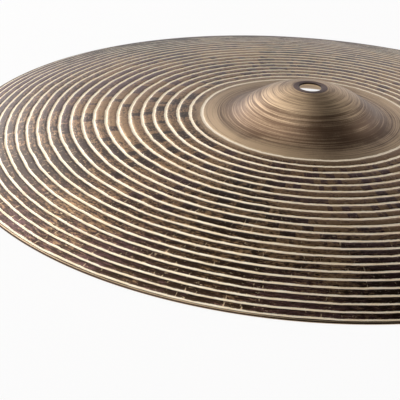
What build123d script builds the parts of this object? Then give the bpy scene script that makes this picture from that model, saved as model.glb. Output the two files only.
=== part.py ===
from build123d import *
import math
import os

# A crash cymbal: one sheet of cast bronze, spun about +Z, rim resting on z = 0.
# Millimetres. The bow is a cubic between the bell's foot and the rim; the bell
# is a piece of a sphere; a blend joins the two; a flat ring rings the hole.

# Driving dimensions.
cymbal_diameter = 406.4      # 16 in across the rim
hole_diameter = 12.7         # 1/2 in, slides over a stand's sleeve
seat_diameter = 20.0         # flat ring round the hole, where the felts press
bell_sphere_radius = 60.5    # outer face of the bell
foot_radius = 50.0           # where the bell's blend ends and the bow begins
foot_blend_radius = 20.0     # hollow blend between bell and bow
bow_rise = 22.0              # outer face, from the rim up to the bell's foot
bow_slope_at_foot = 0.085    # fall per millimetre outward
bow_slope_at_rim = 0.305     # fall per millimetre outward
bell_wall = 1.25             # thickness of bell, blend and the bow's start
rim_wall = 0.90              # thickness at the rim

# Derived dimensions.
rim_radius = cymbal_diameter / 2
hole_radius = hole_diameter / 2
seat_radius = seat_diameter / 2


def up_normal(slope):
    """Unit normal of a face that falls outward by slope, pointing up."""
    length = math.hypot(slope, 1.0)
    return (slope / length, 1.0 / length)


foot_normal = up_normal(bow_slope_at_foot)
rim_normal = up_normal(bow_slope_at_rim)

# The rim is a half round, so its centre sits back from the full radius.
half_rim = rim_wall / 2
rim_centre_x = rim_radius - half_rim
rim_top = (rim_centre_x + half_rim * rim_normal[0], half_rim + half_rim * rim_normal[1])
rim_under = (rim_centre_x - half_rim * rim_normal[0], half_rim - half_rim * rim_normal[1])
rim_tip = (rim_centre_x + half_rim * rim_normal[1], half_rim - half_rim * rim_normal[0])

# Outer and inner points of the bow's start.
foot_top = (foot_radius, rim_top[1] + bow_rise)
foot_under = (foot_top[0] - bell_wall * foot_normal[0], foot_top[1] - bell_wall * foot_normal[1])

# The blend's centre lies above the bow; the bell's centre lies on the axis,
# at the height where the two circles just touch.
blend_centre = (foot_top[0] + foot_blend_radius * foot_normal[0],
                foot_top[1] + foot_blend_radius * foot_normal[1])
centres_apart = bell_sphere_radius + foot_blend_radius
bell_centre_z = blend_centre[1] - math.sqrt(centres_apart ** 2 - blend_centre[0] ** 2)
touch_angle = math.atan2(blend_centre[1] - bell_centre_z, blend_centre[0])


def on_bell(radius, angle):
    """Point of a circle about the bell's centre."""
    return (radius * math.cos(angle), bell_centre_z + radius * math.sin(angle))


def on_blend(radius, angle):
    """Point of a circle about the blend's centre."""
    return (blend_centre[0] + radius * math.cos(angle),
            blend_centre[1] + radius * math.sin(angle))


def bow(inner, outer):
    """Cubic whose two ends carry the bow's slopes.

    Args:
        inner: end at the bell's foot.
        outer: end at the rim.

    Returns:
        A Bezier edge.
    """
    third = (outer[0] - inner[0]) / 3
    near_foot = (inner[0] + third, inner[1] - bow_slope_at_foot * third)
    near_rim = (outer[0] - third, outer[1] + bow_slope_at_rim * third)
    return Bezier(inner, near_foot, near_rim, outer)


bell_inner_radius = bell_sphere_radius - bell_wall
blend_outer_radius = foot_blend_radius + bell_wall
seat_angle = math.acos(seat_radius / bell_sphere_radius)
seat_top = on_bell(bell_sphere_radius, seat_angle)
seat_under_z = seat_top[1] - bell_wall
# The inner flat ends where its plane meets the inside of the bell.
seat_under_radius = math.sqrt(bell_inner_radius ** 2 - (seat_under_z - bell_centre_z) ** 2)
seat_under = (seat_under_radius, seat_under_z)
seat_under_angle = math.acos(seat_under_radius / bell_inner_radius)
foot_angle = math.atan2(-foot_normal[1], -foot_normal[0])
blend_touch_angle = touch_angle - math.pi
blend_middle_angle = (foot_angle + blend_touch_angle) / 2

with BuildPart() as cymbal:
    with BuildSketch(Plane.XZ):
        with BuildLine():
            Line((hole_radius, seat_top[1]), seat_top)
            ThreePointArc(seat_top,
                          on_bell(bell_sphere_radius, (seat_angle + touch_angle) / 2),
                          on_bell(bell_sphere_radius, touch_angle))
            ThreePointArc(on_bell(bell_sphere_radius, touch_angle),
                          on_blend(foot_blend_radius, blend_middle_angle),
                          foot_top)
            bow(foot_top, rim_top)
            ThreePointArc(rim_top, rim_tip, rim_under)
            bow(foot_under, rim_under)
            ThreePointArc(foot_under,
                          on_blend(blend_outer_radius, blend_middle_angle),
                          on_bell(bell_inner_radius, touch_angle))
            ThreePointArc(on_bell(bell_inner_radius, touch_angle),
                          on_bell(bell_inner_radius, (seat_under_angle + touch_angle) / 2),
                          seat_under)
            Line(seat_under, (hole_radius, seat_under_z))
            Line((hole_radius, seat_under_z), (hole_radius, seat_top[1]))
        make_face()
    revolve(axis=Axis.Z)

solid = cymbal.part
# The tip of the half round is the lowest point but for a few hundredths.
solid = solid.moved(Location((0, 0, -solid.bounding_box().min.Z)))
solid.label = "cymbal"
box = solid.bounding_box()
print("height", round(box.max.Z, 3), "seat under", round(box.max.Z - bell_wall, 3))
print("volume mm3", round(solid.volume, 1), "mass kg", round(solid.volume * 8.75e-6, 3))

os.makedirs("parts", exist_ok=True)
export_step(solid, "parts/cymbal.step")
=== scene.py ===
"""Visual model and studio for a crash cymbal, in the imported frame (metres)."""
from __future__ import annotations

import logging
import math
from dataclasses import dataclass, field
from enum import Enum
from typing import Sequence

import bmesh
import bpy
from mathutils import Matrix, Vector, noise

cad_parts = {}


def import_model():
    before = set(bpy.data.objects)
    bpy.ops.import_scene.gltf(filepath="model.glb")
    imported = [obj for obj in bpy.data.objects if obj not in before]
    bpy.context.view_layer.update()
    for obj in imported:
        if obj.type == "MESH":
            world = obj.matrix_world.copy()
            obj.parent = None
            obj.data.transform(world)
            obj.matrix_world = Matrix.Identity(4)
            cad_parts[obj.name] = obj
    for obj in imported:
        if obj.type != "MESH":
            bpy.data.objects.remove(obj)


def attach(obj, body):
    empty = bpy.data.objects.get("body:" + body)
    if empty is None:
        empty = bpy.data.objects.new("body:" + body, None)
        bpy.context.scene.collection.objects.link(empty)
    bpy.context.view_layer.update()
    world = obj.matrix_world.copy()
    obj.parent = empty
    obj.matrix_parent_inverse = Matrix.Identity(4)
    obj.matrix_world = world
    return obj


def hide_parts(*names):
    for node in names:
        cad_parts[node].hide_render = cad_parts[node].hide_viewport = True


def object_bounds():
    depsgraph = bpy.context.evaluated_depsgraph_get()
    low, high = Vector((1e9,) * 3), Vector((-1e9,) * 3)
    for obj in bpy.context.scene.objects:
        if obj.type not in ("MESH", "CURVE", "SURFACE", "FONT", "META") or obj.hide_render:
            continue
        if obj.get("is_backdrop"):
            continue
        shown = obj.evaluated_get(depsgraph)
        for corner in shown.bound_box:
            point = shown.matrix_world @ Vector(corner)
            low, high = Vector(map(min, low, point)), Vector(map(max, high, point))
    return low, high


LOG = logging.getLogger("cymbal")

MM = 0.001
RIM_RADIUS = 203.2          # millimetres, as built
HOLE_RADIUS = 6.35
SEAT_RADIUS = 10.0
BELL_SPHERE = 60.5
FOOT_RADIUS = 50.0
BLEND_RADIUS = 20.0
BOW_RISE = 22.0
SLOPE_AT_FOOT = 0.085
SLOPE_AT_RIM = 0.305
BELL_WALL = 1.25
RIM_WALL = 0.90
OUTER_LINE = 200.8          # radius of the outermost lathe line
LINE_COUNT = 23             # cut lines across the bow
MAP_LINES = 32.0            # lines spanned by the height of the lathe map
FULL_TURN = 2.0 * math.pi

Colour = tuple[float, float, float, float]
WHITE: Colour = (1.0, 1.0, 1.0, 1.0)


class Side(Enum):
    """Which side of the sheet is meant."""

    TOP = "top"
    UNDER = "under"


def line_radius(index: float) -> float:
    """Radius of a lathe line.

    Args:
        index: line number counted inward from the rim; fractions lie between.

    Returns:
        Radius in millimetres.
    """
    return OUTER_LINE - 4.814 * index - 0.1108 * index ** 2 + 0.001917 * index ** 3


def line_index(radius: float) -> float:
    """Line number at a radius, the inverse of line_radius.

    Args:
        radius: millimetres.

    Returns:
        Number of lines counted inward from the rim, fractions included.
    """
    low, high = -2.0, 32.0
    for _ in range(40):
        middle = (low + high) / 2.0
        if line_radius(middle) > radius:
            low = middle
        else:
            high = middle
    return (low + high) / 2.0


@dataclass(frozen=True)
class Point:
    """One point of the turned outline, in millimetres."""

    radius: float
    height: float
    sway: float = 0.0       # how far the hammered surface may move it, 0 to 1


@dataclass(frozen=True)
class Sheet:
    """The smooth sheet of metal: heights of both faces by radius."""

    def _normal(self, slope: float) -> tuple[float, float]:
        """Unit normal of a face that falls outward.

        Args:
            slope: fall per unit of radius.

        Returns:
            Outward and upward part of the normal.
        """
        length = math.hypot(slope, 1.0)
        return slope / length, 1.0 / length

    @property
    def rim_top(self) -> tuple[float, float]:
        """Radius and height where the bow's top meets the round rim."""
        half = RIM_WALL / 2.0
        out, up = self._normal(SLOPE_AT_RIM)
        return RIM_RADIUS - half + half * out, half + half * up

    @property
    def rim_under(self) -> tuple[float, float]:
        """Radius and height where the bow's underside meets the round rim."""
        half = RIM_WALL / 2.0
        out, up = self._normal(SLOPE_AT_RIM)
        return RIM_RADIUS - half - half * out, half - half * up

    @property
    def foot_top(self) -> tuple[float, float]:
        """Radius and height of the bow's start on top."""
        return FOOT_RADIUS, self.rim_top[1] + BOW_RISE

    @property
    def foot_under(self) -> tuple[float, float]:
        """Radius and height of the bow's start underneath."""
        out, up = self._normal(SLOPE_AT_FOOT)
        radius, height = self.foot_top
        return radius - BELL_WALL * out, height - BELL_WALL * up

    @property
    def blend_centre(self) -> tuple[float, float]:
        """Centre of the hollow blend between bell and bow."""
        out, up = self._normal(SLOPE_AT_FOOT)
        radius, height = self.foot_top
        return radius + BLEND_RADIUS * out, height + BLEND_RADIUS * up

    @property
    def bell_centre(self) -> float:
        """Height of the bell sphere's centre on the axis."""
        radius, height = self.blend_centre
        return height - math.sqrt((BELL_SPHERE + BLEND_RADIUS) ** 2 - radius ** 2)

    def height(self, radius: float, side: Side = Side.TOP) -> float:
        """Height of one side of the sheet.

        Args:
            radius: millimetres from the axis.
            side: the top or the underside.

        Returns:
            Height in millimetres above the plane the rim rests on.
        """
        under = side is Side.UNDER
        wall = BELL_WALL if under else 0.0
        bell = BELL_SPHERE - wall
        blend = BLEND_RADIUS + wall
        cx, cz = self.blend_centre
        touch = cx * bell / (BELL_SPHERE + BLEND_RADIUS)
        start = self.foot_under if under else self.foot_top
        end = self.rim_under if under else self.rim_top
        if radius <= touch:
            flat = (self.bell_centre
                    + math.sqrt(BELL_SPHERE ** 2 - SEAT_RADIUS ** 2) - wall)
            dome = self.bell_centre + math.sqrt(bell ** 2 - radius ** 2)
            return min(flat, dome)
        if radius <= start[0]:
            return cz - math.sqrt(max(blend ** 2 - (radius - cx) ** 2, 0.0))
        run = end[0] - start[0]
        t = min(max((radius - start[0]) / run, 0.0), 1.0)
        near_foot = start[1] - SLOPE_AT_FOOT * run / 3.0
        near_rim = end[1] + SLOPE_AT_RIM * run / 3.0
        s = 1.0 - t
        return (s ** 3 * start[1] + 3 * s * s * t * near_foot
                + 3 * s * t * t * near_rim + t ** 3 * end[1])


@dataclass
class CymbalMesh:
    """The cymbal's visual mesh: one closed turned sheet with cut grooves."""

    steps: int = 360
    groove_depth: float = 0.22
    groove_width: float = 1.5
    hammer_depth: float = 0.12
    seat_sample: float = 8.0        # a radius on the flat seat
    chamfer_out: float = 0.35       # chamfer at the hole, along the seat
    chamfer_down: float = 0.30      # and down the wall
    tool_start: float = 11.2        # tool marks on bell and inner band
    tool_end: float = 59.0
    tool_pitch: float = 1.05
    tool_mark: float = 0.012
    tool_sink: float = 0.03
    bow_end: float = 202.35         # last point of the top before the rim
    rim_steps: int = 6
    under_start: float = 201.2      # lathe rings underneath
    under_end: float = 12.0
    under_pitch: float = 3.4
    under_ring: float = 0.05
    sheet: Sheet = field(default_factory=Sheet)

    def tooled_band(self) -> list[Point]:
        """Top of the bell and inner band, with fine tool marks.

        Returns:
            Points from the seat out to the innermost line.
        """
        points = []
        radius = self.tool_start
        while radius < self.tool_end:
            mark = self.tool_mark * (math.sin(radius * 2.4) + math.sin(radius * 1.1))
            height = self.sheet.height(radius) - self.tool_sink + mark
            points.append(Point(radius, height, 0.4))
            radius += self.tool_pitch
        return points

    def groove(self, index: int) -> list[Point]:
        """Section of one cut line, wider at the rim and softer inside.

        Args:
            index: line number from the rim.

        Returns:
            Four points from the inner to the outer edge.
        """
        half = self.groove_width * (0.62 if index < 2 else 0.5)
        depth = self.groove_depth * (0.5 if index > 20 else 1.0)
        points = []
        for side, share in ((-1.0, 0.0), (-0.55, 1.0), (0.55, 1.0), (1.0, 0.0)):
            spot = line_radius(index) + side * half
            points.append(Point(spot, self.sheet.height(spot) - share * depth, 1.0))
        return points

    def land(self, index: int) -> list[Point]:
        """Two points of the uncut metal outside a line.

        Args:
            index: line number from the rim.

        Returns:
            The points, inner one first.
        """
        inner, outer = line_radius(index), line_radius(index - 1)
        spots = [inner + (outer - inner) * share for share in (0.36, 0.64)]
        return [Point(spot, self.sheet.height(spot), 1.0) for spot in spots]

    def top_points(self) -> list[Point]:
        """Outline of the top, from the hole out to the rim.

        Returns:
            Points with grooves cut into the bow.
        """
        seat = self.sheet.height(self.seat_sample)
        points = [Point(HOLE_RADIUS + self.chamfer_out, seat)]
        for radius in (7.6, 8.8, 9.7, 10.3):
            points.append(Point(radius, self.sheet.height(radius)))
        points += self.tooled_band()
        for index in range(LINE_COUNT - 1, -1, -1):
            points += self.groove(index)
            if index > 0:
                points += self.land(index)
        points.append(Point(self.bow_end, self.sheet.height(self.bow_end), 0.3))
        return points

    def rim_points(self) -> list[Point]:
        """Half round of the rim.

        Returns:
            Points from the top round to the underside.
        """
        half = RIM_WALL / 2.0
        tilt = math.atan2(1.0, SLOPE_AT_RIM)
        points = []
        for step in range(self.rim_steps + 1):
            angle = tilt - math.pi * step / self.rim_steps
            radius = RIM_RADIUS - half + half * math.cos(angle)
            points.append(Point(radius, half + half * math.sin(angle)))
        return points

    def under_points(self) -> list[Point]:
        """Outline of the underside.

        Returns:
            Points from the rim in to the hole.
        """
        points = []
        radius = self.under_start
        while radius > self.under_end:
            ring = self.under_ring * (1.0 + math.sin(radius * 1.9))
            height = self.sheet.height(radius, Side.UNDER) + ring
            points.append(Point(radius, height, 0.8))
            radius -= self.under_pitch
        points.append(Point(9.9, self.sheet.height(9.9, Side.UNDER)))
        seat = self.sheet.height(self.seat_sample, Side.UNDER)
        points.append(Point(HOLE_RADIUS + self.chamfer_out, seat))
        return points

    def hole_points(self) -> list[Point]:
        """Wall of the hole between its two small chamfers.

        Returns:
            The lower and the upper point.
        """
        low = self.sheet.height(self.seat_sample, Side.UNDER) + self.chamfer_down
        top = self.sheet.height(self.seat_sample) - self.chamfer_down
        return [Point(HOLE_RADIUS, low), Point(HOLE_RADIUS, top)]

    def spin(self, outline: list[Point]) -> bmesh.types.BMesh:
        """Spins the closed outline once round the axis, without hammering.

        Args:
            outline: points from the hole over the top and back underneath.

        Returns:
            A closed shell whose vertices carry their sway and line number.
        """
        mesh = bmesh.new()
        for name in ("sway", "mark"):
            mesh.verts.layers.float.new(name)
        sway, mark = (mesh.verts.layers.float[name] for name in ("sway", "mark"))
        section = []
        for point in outline:
            vert = mesh.verts.new((point.radius * MM, 0.0, point.height * MM))
            vert[sway] = point.sway
            vert[mark] = line_index(point.radius)
            section.append(vert)
        edges = [mesh.edges.new(pair) for pair in zip(section, section[1:] + section[:1])]
        bmesh.ops.spin(mesh, geom=section + edges, cent=(0.0, 0.0, 0.0),
                       axis=(0.0, 0.0, 1.0), angle=FULL_TURN, steps=self.steps,
                       use_merge=True)
        bmesh.ops.recalc_face_normals(mesh, faces=mesh.faces)
        return mesh

    @staticmethod
    def lay_map(mesh: bmesh.types.BMesh) -> None:
        """Lays the lathe map: turns across it, line numbers up it.

        Args:
            mesh: the spun shell, changed in place.
        """
        lathe = mesh.loops.layers.uv.new("Lathe")
        mark = mesh.verts.layers.float["mark"]
        for face in mesh.faces:
            face.smooth = True
            centre = face.calc_center_median()
            middle = math.atan2(centre.y, centre.x) % FULL_TURN
            for loop in face.loops:
                corner = loop.vert.co
                aside = math.atan2(corner.y, corner.x) - middle
                aside = (aside + math.pi) % FULL_TURN - math.pi
                loop[lathe].uv = ((middle + aside) / FULL_TURN,
                                  loop.vert[mark] / MAP_LINES)

    def hammer(self, mesh: bmesh.types.BMesh) -> None:
        """Gives the shell the unevenness left by hammer and hand lathe.

        Args:
            mesh: the spun shell, changed in place.
        """
        sway = mesh.verts.layers.float["sway"]
        waves = ((0.42, 42.0, 3.1), (0.30, 15.0, 7.7), (0.16, 5.0, 1.3))
        for vert in mesh.verts:
            x, y = vert.co.x / MM, vert.co.y / MM
            drift = sum(amount * noise.noise(Vector((x / size, y / size, level)))
                        for amount, size, level in waves)
            dent = noise.noise(Vector((x / 17.0, y / 17.0, 0.4)))
            growth = 1.0 + drift * vert[sway] / math.hypot(x, y)
            sink = min(0.0, dent - 0.1) * self.hammer_depth * vert[sway]
            vert.co = (vert.co.x * growth, vert.co.y * growth, vert.co.z + sink * MM)

    def build(self) -> bpy.types.Object:
        """Makes the mesh object.

        Returns:
            The cymbal, closed, with a lathe UV map.
        """
        outline = (self.top_points() + self.rim_points()
                   + self.under_points() + self.hole_points())
        mesh = self.spin(outline)
        self.lay_map(mesh)
        self.hammer(mesh)
        for name in ("sway", "mark"):
            mesh.verts.layers.float.remove(mesh.verts.layers.float[name])
        data = bpy.data.meshes.new("cymbal_bronze")
        mesh.to_mesh(data)
        mesh.free()
        piece = bpy.data.objects.new("cymbal_bronze", data)
        bpy.context.scene.collection.objects.link(piece)
        LOG.info("cymbal_bronze: %d outline points, %d faces",
                 len(outline), len(data.polygons))
        return piece


class Graph:
    """Small helper that wires shader nodes."""

    def __init__(self, name: str) -> None:
        """Starts an empty material.

        Args:
            name: material name.
        """
        self.material = bpy.data.materials.new(name)
        self.material.use_nodes = True
        self.tree = self.material.node_tree
        self.tree.nodes.clear()

    def add(self, kind: str, **values: object) -> bpy.types.Node:
        """Adds a node.

        Args:
            kind: node type.
            values: properties to set on it.

        Returns:
            The new node.
        """
        node = self.tree.nodes.new(kind)
        for key, value in values.items():
            setattr(node, key, value)
        return node

    def feed(self, socket: bpy.types.NodeSocket, value: object) -> None:
        """Links a socket or sets a constant.

        Args:
            socket: the input to feed.
            value: another node's output, or a constant.
        """
        if isinstance(value, bpy.types.NodeSocket):
            self.tree.links.new(value, socket)
        else:
            socket.default_value = value

    def maths(self, operation: str, *values: object) -> bpy.types.NodeSocket:
        """Adds a maths node.

        Args:
            operation: its operation.
            values: its inputs in order.

        Returns:
            The result.
        """
        node = self.add("ShaderNodeMath", operation=operation)
        for socket, value in zip(node.inputs, values):
            self.feed(socket, value)
        return node.outputs[0]

    def plus(self, first: object, *others: object) -> bpy.types.NodeSocket:
        """Sum of two or more numbers.

        Args:
            first: number to start from.
            others: numbers added in order.

        Returns:
            The sum.
        """
        for other in others:
            first = self.maths("ADD", first, other)
        return first

    def minus(self, first: object, second: object) -> bpy.types.NodeSocket:
        """First number less the second."""
        return self.maths("SUBTRACT", first, second)

    def times(self, first: object, second: object) -> bpy.types.NodeSocket:
        """Product of two numbers."""
        return self.maths("MULTIPLY", first, second)

    def swing(self, value: object, amount: float) -> bpy.types.NodeSocket:
        """Noise from 0 to 1 spread round nought, amount wide."""
        return self.times(self.minus(value, 0.5), amount)

    def ramp(self, value: object, low: float, high: float,
             start: float = 0.0, end: float = 1.0) -> bpy.types.NodeSocket:
        """Smooth step.

        Args:
            value: number that drives it.
            low: where the step begins.
            high: where the step ends.
            start: result at and below low.
            end: result at and above high.

        Returns:
            The stepped number.
        """
        node = self.add("ShaderNodeMapRange", interpolation_type="SMOOTHSTEP")
        for socket, item in zip(node.inputs, (value, low, high, start, end)):
            self.feed(socket, item)
        return node.outputs[0]

    def mix(self, share: object, first: object, second: object) -> bpy.types.NodeSocket:
        """Mixes two colours.

        Args:
            share: how much of the second colour, 0 to 1.
            first: a colour.
            second: another colour.

        Returns:
            The mixed colour.
        """
        node = self.add("ShaderNodeMix", data_type="RGBA", clamp_factor=True)
        self.feed(node.inputs["Factor"], share)
        self.feed(node.inputs[6], first)
        self.feed(node.inputs[7], second)
        return node.outputs[2]

    def vector(self, x: object, y: object, z: object) -> bpy.types.NodeSocket:
        """Joins three numbers.

        Args:
            x: first number.
            y: second number.
            z: third number.

        Returns:
            The vector.
        """
        node = self.add("ShaderNodeCombineXYZ")
        for socket, value in zip(node.inputs, (x, y, z)):
            self.feed(socket, value)
        return node.outputs[0]

    def split(self, vector: bpy.types.NodeSocket) -> Sequence[bpy.types.NodeSocket]:
        """Parts a vector.

        Args:
            vector: the vector.

        Returns:
            Its three numbers.
        """
        node = self.add("ShaderNodeSeparateXYZ")
        self.feed(node.inputs[0], vector)
        return node.outputs

    def noise(self, place: object, scale: float, detail: float,
              rough: float) -> bpy.types.NodeSocket:
        """Three-dimensional noise.

        Args:
            place: where it is read.
            scale: size of its pattern, larger is finer.
            detail: number of finer layers.
            rough: strength of the finer layers.

        Returns:
            A number from 0 to 1.
        """
        node = self.add("ShaderNodeTexNoise")
        self.feed(node.inputs["Vector"], place)
        node.inputs["Scale"].default_value = scale
        node.inputs["Detail"].default_value = detail
        node.inputs["Roughness"].default_value = rough
        return node.outputs[0]


@dataclass(frozen=True)
class Grain:
    """A noise that follows the lathe."""

    around: float       # fineness round the axis
    across: float       # fineness along the radius, per millimetre
    detail: float
    rough: float


class Lathe:
    """Coordinates and patterns that the bronze's regions share."""

    def __init__(self, g: Graph) -> None:
        """Lays the coordinates and the shared patterns.

        Args:
            g: the material's graph.
        """
        self.g = g
        self.place = g.add("ShaderNodeTexCoord").outputs["Object"]
        x, y, _ = g.split(self.place)
        self.radius = g.times(g.maths("SQRT", g.plus(g.times(x, x), g.times(y, y))), 1000.0)
        self.turn, lines, _ = g.split(g.add("ShaderNodeUVMap", uv_map="Lathe").outputs[0])
        self.index = g.times(lines, MAP_LINES)
        safe = g.maths("MAXIMUM", self.radius, 1.0)
        self.east = g.maths("DIVIDE", g.times(x, 1000.0), safe)
        self.north = g.maths("DIVIDE", g.times(y, 1000.0), safe)
        self.wobble = g.minus(self.noise(Grain(60.0, 0.05, 3.0, 0.6)), 0.5)
        self.ragged = g.minus(self.noise(Grain(150.0, 1.2, 2.0, 0.6)), 0.5)
        self.clouds = g.noise(self.place, 22.0, 3.0, 0.6)
        self.streaks = self.noise(Grain(9.0, 1.6, 4.0, 0.65))
        self.grain = self.noise(Grain(36.0, 0.85, 3.0, 0.7))
        self.fine_grain = self.noise(Grain(62.0, 0.75, 3.0, 0.8))
        self.rings = self.noise(Grain(0.9, 1.5, 2.0, 0.7))
        self.drawn = g.plus(self.index, g.times(self.wobble, 0.08),
                            g.swing(self.noise(Grain(11.0, 0.09, 2.0, 0.6)), 0.17))
        self.line = self.cut_line()
        self.on_band = g.ramp(g.plus(self.radius, g.times(self.wobble, 3.0)),
                              60.5, 67.0, 1.0, 0.0)

    def noise(self, grain: Grain) -> bpy.types.NodeSocket:
        """Noise on coordinates stretched round the axis.

        Args:
            grain: its fineness and detail.

        Returns:
            A number from 0 to 1.
        """
        place = self.g.vector(self.g.times(self.east, grain.around),
                              self.g.times(self.north, grain.around),
                              self.g.times(self.radius, grain.across))
        return self.g.noise(place, 1.0, grain.detail, grain.rough)

    def cut_line(self) -> bpy.types.NodeSocket:
        """Mask of the cut lines, slightly ragged, only on the bow.

        Returns:
            1 on a line and 0 on the land between.
        """
        g = self.g
        away = g.maths("ABSOLUTE", g.minus(self.drawn, g.maths("ROUND", self.drawn)))
        away = g.plus(away, g.times(self.ragged, 0.055))
        line = g.ramp(away, 0.100, 0.158, 1.0, 0.0)
        line = g.times(line, g.ramp(self.index, 22.2, 22.8, 1.0, 0.0))
        return g.times(line, g.ramp(self.index, -0.30, -0.22, 0.0, 1.0))

    def blocks(self, count: float, shift: float) -> bpy.types.NodeSocket:
        """One random value for each stretch of land.

        Args:
            count: stretches in a turn.
            shift: offset that makes the pattern its own.

        Returns:
            A number from 0 to 1.
        """
        g = self.g
        band = g.plus(g.maths("FLOOR", self.drawn), shift)
        start = g.add("ShaderNodeTexWhiteNoise", noise_dimensions="1D")
        g.feed(start.inputs["W"], band)
        along = g.plus(g.times(self.turn, count), g.times(start.outputs["Value"], count))
        cell = g.maths("FLOORED_MODULO", g.maths("FLOOR", along), count)
        value = g.add("ShaderNodeTexWhiteNoise", noise_dimensions="2D")
        g.feed(value.inputs["Vector"], g.vector(cell, band, 0.0))
        return value.outputs["Value"]


@dataclass(frozen=True)
class BronzeFinish:
    """Lathed bronze: bright cuts, dark patina between them, warm bell."""

    cut: Colour = (0.98, 0.89, 0.70, 1.0)
    cut_tan: Colour = (0.93, 0.79, 0.56, 1.0)
    patina_plum: Colour = (0.115, 0.058, 0.056, 1.0)
    patina_brown: Colour = (0.034, 0.017, 0.007, 1.0)
    patina_light: Colour = (0.35, 0.215, 0.108, 1.0)
    fleck: Colour = (0.78, 0.60, 0.38, 1.0)
    bell: Colour = (0.60, 0.45, 0.29, 1.0)
    # dark end of the bell's tone: used for the random tool-mark tone and for the painted shade
    # round the bell's foot
    bell_dark_tone_and_painted_shade: Colour = (0.15, 0.092, 0.056, 1.0)
    seat: Colour = (0.13, 0.085, 0.075, 1.0)
    hole_edge: Colour = (0.02, 0.013, 0.01, 1.0)
    rim_gap: Colour = (0.05, 0.032, 0.022, 1.0)
    rim_line: Colour = (0.60, 0.45, 0.28, 1.0)
    rim_edge: Colour = (0.045, 0.028, 0.02, 1.0)
    under: Colour = (0.62, 0.45, 0.26, 1.0)
    under_shade: Colour = (0.40, 0.27, 0.15, 1.0)
    under_cloud: Colour = (0.26, 0.165, 0.10, 1.0)

    def golden(self, lathe: Lathe) -> bpy.types.NodeSocket:
        """How far the patina is worn to a golden brown.

        Args:
            lathe: the shared patterns.

        Returns:
            0 where it is dark, 1 where it is worn.
        """
        g = lathe.g
        block = g.plus(g.times(lathe.blocks(61.0, 0.5), 0.6),
                       g.times(lathe.blocks(143.0, 40.5), 0.4))
        dark_block = g.ramp(block, 0.60, 0.61)
        reach = g.times(g.ramp(lathe.index, 7.0, 12.0),
                        g.ramp(lathe.index, 20.0, 21.5, 1.0, 0.0))
        reach = g.times(reach, g.ramp(lathe.fine_grain, 0.38, 0.52, 0.45, 0.75))
        worn = g.plus(g.swing(lathe.clouds, 2.6), g.swing(lathe.streaks, 1.4),
                      g.swing(lathe.grain, 2.3), g.swing(lathe.fine_grain, 2.6),
                      g.ramp(lathe.index, 1.0, 16.0, -0.10, 0.62))
        return g.ramp(g.minus(worn, g.times(dark_block, reach)), 0.05, 0.95)

    def bow(self, lathe: Lathe) -> bpy.types.NodeSocket:
        """Colour of the bow: pale cuts, and patina with flecks between.

        Args:
            lathe: the shared patterns.

        Returns:
            The colour.
        """
        g = lathe.g
        plum = g.plus(g.noise(lathe.place, 9.0, 2.0, 0.5), g.swing(lathe.grain, 0.7))
        base = g.mix(g.ramp(plum, 0.40, 0.60), self.patina_brown, self.patina_plum)
        land = g.mix(self.golden(lathe), base, self.patina_light)
        scratch = g.ramp(lathe.noise(Grain(125.0, 0.16, 2.0, 0.6)), 0.66, 0.73)
        land = g.mix(g.times(scratch, 0.62), land, self.fleck)
        spots = g.ramp(lathe.noise(Grain(52.0, 0.60, 3.0, 0.8)), 0.63, 0.70)
        land = g.mix(g.times(spots, 0.70), land, self.fleck)
        tone = g.ramp(lathe.noise(Grain(25.0, 0.6, 3.0, 0.5)), 0.35, 0.65)
        return g.mix(lathe.line, land, g.mix(tone, self.cut, self.cut_tan))

    def bell_and_band(self, lathe: Lathe) -> bpy.types.NodeSocket:
        """Colour of bell and inner band, with close tool marks, and painted shade darkening a
        band round the bell's foot.

        Args:
            lathe: the shared patterns.

        Returns:
            The colour.
        """
        g = lathe.g
        broad = lathe.noise(Grain(0.45, 1.15, 3.0, 0.75))
        # painted shade: the tone is darkened in a band round the bell's foot, where the bell
        # curves into the bow
        foot_painted_shade = g.times(g.ramp(lathe.radius, 22.0, 36.0),
                       g.ramp(lathe.radius, 42.0, 56.0, 1.0, 0.0))
        tone = g.plus(g.times(broad, 0.60), g.times(lathe.rings, 0.40),
                      g.ramp(lathe.radius, 48.0, 60.0, 0.0, 0.06))
        tone = g.minus(tone, g.times(foot_painted_shade, 0.15))
        tone = g.minus(tone, g.times(g.ramp(lathe.clouds, 0.50, 0.66), 0.07))
        tone = g.plus(tone, g.swing(lathe.fine_grain, 0.14))
        colour = g.mix(g.ramp(tone, 0.30, 0.60), self.bell_dark_tone_and_painted_shade, self.bell)
        return g.mix(g.times(lathe.line, 0.75), colour, self.cut)

    def seat_ring(self, lathe: Lathe, top: object) -> bpy.types.NodeSocket:
        """Adds the dark seat ring and the hole's darker edge.

        Args:
            lathe: the shared patterns.
            top: colour of the rest of the top.

        Returns:
            The colour.
        """
        g = lathe.g
        edge = g.plus(lathe.radius, g.times(lathe.ragged, 0.6))
        top = g.mix(g.ramp(edge, 9.7, 10.3, 1.0, 0.0), top, self.seat)
        return g.mix(g.ramp(lathe.radius, 6.75, 7.0, 1.0, 0.0), top, self.hole_edge)

    def rim(self, lathe: Lathe, top: object) -> bpy.types.NodeSocket:
        """Adds the rim's dark gap, thin tan line and dark edge.

        Args:
            lathe: the shared patterns.
            top: colour of the rest of the top.

        Returns:
            The colour.
        """
        g = lathe.g
        tan = g.times(g.ramp(lathe.radius, 202.0, 202.15),
                      g.ramp(lathe.radius, 202.5, 202.65, 1.0, 0.0))
        top = g.mix(g.ramp(lathe.radius, 201.5, 201.7), top, self.rim_gap)
        top = g.mix(g.times(tan, 0.8), top, self.rim_line)
        return g.mix(g.ramp(lathe.radius, 202.6, 202.8), top, self.rim_edge)

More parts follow.
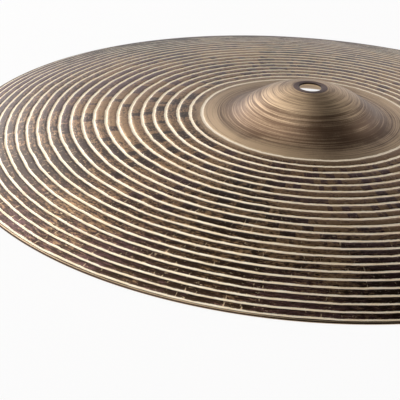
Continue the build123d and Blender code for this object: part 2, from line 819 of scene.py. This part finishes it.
    def underside(self, lathe: Lathe) -> bpy.types.NodeSocket:
        """Colour of the plain lathed underside.

        Args:
            lathe: the shared patterns.

        Returns:
            The colour.
        """
        g = lathe.g
        tone = g.ramp(lathe.noise(Grain(1.2, 0.5, 4.0, 0.7)), 0.35, 0.65)
        colour = g.mix(tone, self.under_shade, self.under)
        return g.mix(g.times(g.ramp(lathe.clouds, 0.45, 0.7), 0.5), colour, self.under_cloud)

    def relief(self, lathe: Lathe) -> bpy.types.NodeSocket:
        """Fine relief of tool marks and grain.

        Args:
            lathe: the shared patterns.

        Returns:
            The bumped normal.
        """
        g = lathe.g
        marks = lathe.noise(Grain(3.0, 2.2, 3.0, 0.7))
        height = g.plus(g.times(lathe.rings, 0.28), g.times(marks, 0.35),
                        g.times(lathe.fine_grain, 0.5))
        bump = g.add("ShaderNodeBump")
        bump.inputs["Strength"].default_value = 0.5
        bump.inputs["Distance"].default_value = 0.0002
        g.feed(bump.inputs["Height"], g.minus(height, g.times(lathe.line, 0.35)))
        return bump.outputs[0]

    def build(self) -> bpy.types.Material:
        """Makes the material.

        Returns:
            A procedural metal on object coordinates and the lathe map.
        """
        g = Graph("lathed_bronze")
        lathe = Lathe(g)
        top = g.mix(lathe.on_band, self.bow(lathe), self.bell_and_band(lathe))
        top = self.rim(lathe, self.seat_ring(lathe, top))
        normal = g.add("ShaderNodeNewGeometry").outputs["Normal"]
        is_top = g.ramp(g.split(normal)[2], -0.1, 0.1)
        smooth = g.ramp(g.maths("MAXIMUM", lathe.line, lathe.on_band), 0.0, 1.0, 0.36, 0.48)
        tangent = g.add("ShaderNodeTangent", direction_type="RADIAL", axis="Z")
        metal = g.add("ShaderNodeBsdfPrincipled")
        g.feed(metal.inputs["Base Color"], g.mix(is_top, self.underside(lathe), top))
        g.feed(metal.inputs["Roughness"], g.plus(smooth, g.swing(lathe.streaks, 0.25)))
        g.feed(metal.inputs["Metallic"], g.ramp(lathe.line, 0.0, 1.0, 0.93, 0.35))
        metal.inputs["Anisotropic"].default_value = 0.5
        metal.inputs["Anisotropic Rotation"].default_value = 0.25
        metal.inputs["Coat Weight"].default_value = 0.12
        metal.inputs["Coat Roughness"].default_value = 0.25
        metal.inputs["Coat IOR"].default_value = 1.5
        g.feed(metal.inputs["Normal"], self.relief(lathe))
        g.feed(metal.inputs["Tangent"], tangent.outputs[0])
        g.feed(g.add("ShaderNodeOutputMaterial").inputs[0], metal.outputs[0])
        return g.material


@dataclass(frozen=True)
class Camera:
    """Fitted camera: long lens, slightly rolled, looking down at the bow."""

    distance: float = 4.54554       # in outer-line radii
    elevation: float = 0.40078      # angles in radians
    pan: float = 0.06419
    tilt: float = 0.03833
    roll: float = 0.08896
    lens: float = 139.67            # millimetres
    target_height: float = 1.51     # millimetres

    def build(self) -> bpy.types.Object:
        """Makes the camera and sets it as the scene's.

        Returns:
            The camera.
        """
        sin, cos = math.sin, math.cos
        away = Vector((0.0, -self.distance * cos(self.elevation),
                       self.distance * sin(self.elevation)))
        forward = -away.normalized()
        right = Vector((1.0, 0.0, 0.0))
        up = right.cross(forward)
        base = Matrix((right, -up, forward))
        turn = (Matrix.Rotation(self.roll, 3, "Z") @ Matrix.Rotation(self.tilt, 3, "X")
                @ Matrix.Rotation(self.pan, 3, "Y") @ base)
        axes = Matrix((turn[0], -turn[1], -turn[2])).transposed()
        data = bpy.data.cameras.new("camera")
        data.lens = self.lens
        data.sensor_width = 36.0
        data.clip_start = 0.05
        camera = bpy.data.objects.new("camera", data)
        bpy.context.scene.collection.objects.link(camera)
        place = axes.to_4x4()
        place.translation = away * OUTER_LINE * MM + Vector((0.0, 0.0, self.target_height * MM))
        camera.matrix_world = place
        bpy.context.scene.camera = camera
        return camera


@dataclass(frozen=True)
class Lamp:
    """One soft area lamp aimed at the cymbal."""

    name: str
    azimuth: float      # degrees
    elevation: float    # degrees
    distance: float     # metres
    size: float         # metres
    power: float        # watts
    colour: tuple[float, float, float] = (1.0, 1.0, 1.0)

    def build(self) -> bpy.types.Object:
        """Makes the lamp.

        Returns:
            The lamp.
        """
        data = bpy.data.lights.new(self.name, "AREA")
        data.shape = "DISK"
        data.size = self.size
        data.energy = self.power
        data.color = self.colour
        lamp = bpy.data.objects.new(self.name, data)
        bpy.context.scene.collection.objects.link(lamp)
        a, e = math.radians(self.azimuth), math.radians(self.elevation)
        place = Vector((math.cos(a) * math.cos(e), math.sin(a) * math.cos(e), math.sin(e)))
        lamp.location = place * self.distance
        lamp.rotation_euler = (-place).to_track_quat("-Z", "Y").to_euler()
        return lamp


@dataclass(frozen=True)
class Studio:
    """Pale floor, world and lamps."""

    lamps: Sequence[Lamp] = (
        Lamp("key_left", 136.0, 25.0, 1.8, 1.5, 15.0, (1.0, 0.96, 0.95)),
        Lamp("side_left", 186.0, 56.0, 1.8, 2.2, 27.0, (1.0, 0.97, 0.95)),
        Lamp("fill_right", 30.0, 28.0, 1.8, 1.4, 5.0),
    )

    def floor(self) -> bpy.types.Object:
        """Makes the floor, white to the eye and keeping a light shadow.

        Returns:
            The floor.
        """
        g = Graph("pale_floor")
        plain = g.add("ShaderNodeBsdfDiffuse")
        plain.inputs[0].default_value = (0.86, 0.86, 0.86, 1.0)
        glow = g.add("ShaderNodeEmission")
        glow.inputs[0].default_value = WHITE
        path = g.add("ShaderNodeLightPath")
        seen = g.maths("MAXIMUM", path.outputs["Is Camera Ray"], path.outputs["Is Glossy Ray"])
        blend = g.add("ShaderNodeMixShader")
        g.feed(blend.inputs[0], g.times(seen, 0.88))
        g.feed(blend.inputs[1], plain.outputs[0])
        g.feed(blend.inputs[2], glow.outputs[0])
        out = g.add("ShaderNodeOutputMaterial")
        g.feed(out.inputs[0], blend.outputs[0])
        mesh = bmesh.new()
        bmesh.ops.create_grid(mesh, x_segments=1, y_segments=1, size=6.0)
        data = bpy.data.meshes.new("floor")
        mesh.to_mesh(data)
        mesh.free()
        data.materials.append(g.material)
        floor = bpy.data.objects.new("floor", data)
        bpy.context.scene.collection.objects.link(floor)
        floor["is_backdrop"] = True
        return floor

    def world(self) -> None:
        """Makes a world that is pale low down and dim overhead."""
        world = bpy.data.worlds.new("studio")
        world.use_nodes = True
        tree = world.node_tree
        place = tree.nodes.new("ShaderNodeTexCoord")
        split = tree.nodes.new("ShaderNodeSeparateXYZ")
        ramp = tree.nodes.new("ShaderNodeValToRGB")
        ramp.color_ramp.elements[0].position = 0.22
        ramp.color_ramp.elements[0].color = (1.0, 0.94, 0.95, 1.0)
        ramp.color_ramp.elements[1].position = 0.54
        ramp.color_ramp.elements[1].color = (0.012, 0.010, 0.010, 1.0)
        back = tree.nodes["Background"]
        tree.links.new(place.outputs["Generated"], split.inputs[0])
        tree.links.new(split.outputs[2], ramp.inputs[0])
        tree.links.new(ramp.outputs[0], back.inputs[0])
        back.inputs[1].default_value = 0.9
        white = tree.nodes.new("ShaderNodeBackground")
        white.inputs[0].default_value = WHITE
        path = tree.nodes.new("ShaderNodeLightPath")
        blend = tree.nodes.new("ShaderNodeMixShader")
        tree.links.new(path.outputs["Is Camera Ray"], blend.inputs[0])
        tree.links.new(back.outputs[0], blend.inputs[1])
        tree.links.new(white.outputs[0], blend.inputs[2])
        tree.links.new(blend.outputs[0], tree.nodes["World Output"].inputs[0])
        bpy.context.scene.world = world

    def build(self) -> None:
        """Makes everything round the cymbal."""
        self.floor()
        self.world()
        for lamp in self.lamps:
            lamp.build()
        Camera().build()
        bpy.context.scene.view_settings.view_transform = "Standard"


def write_sizes(packed: object) -> None:
    """Args:
        packed: bounds taken straight after loading.
    """
    def plain(box: object) -> list[list[float]]:
        """Plain numbers of a box's two corners."""
        return [[float(v) for v in corner] for corner in box]
    {"cad": plain(packed), "visual": plain(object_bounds())}


def main() -> None:
    """Builds the visual cymbal and the studio."""
    logging.basicConfig(level=logging.INFO)
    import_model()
    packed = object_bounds()
    piece = CymbalMesh().build()
    piece.data.materials.append(BronzeFinish().build())
    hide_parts("cymbal")
    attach(piece, "root")
    Studio().build()
    write_sizes(packed)


if __name__ == "__main__":
    main()
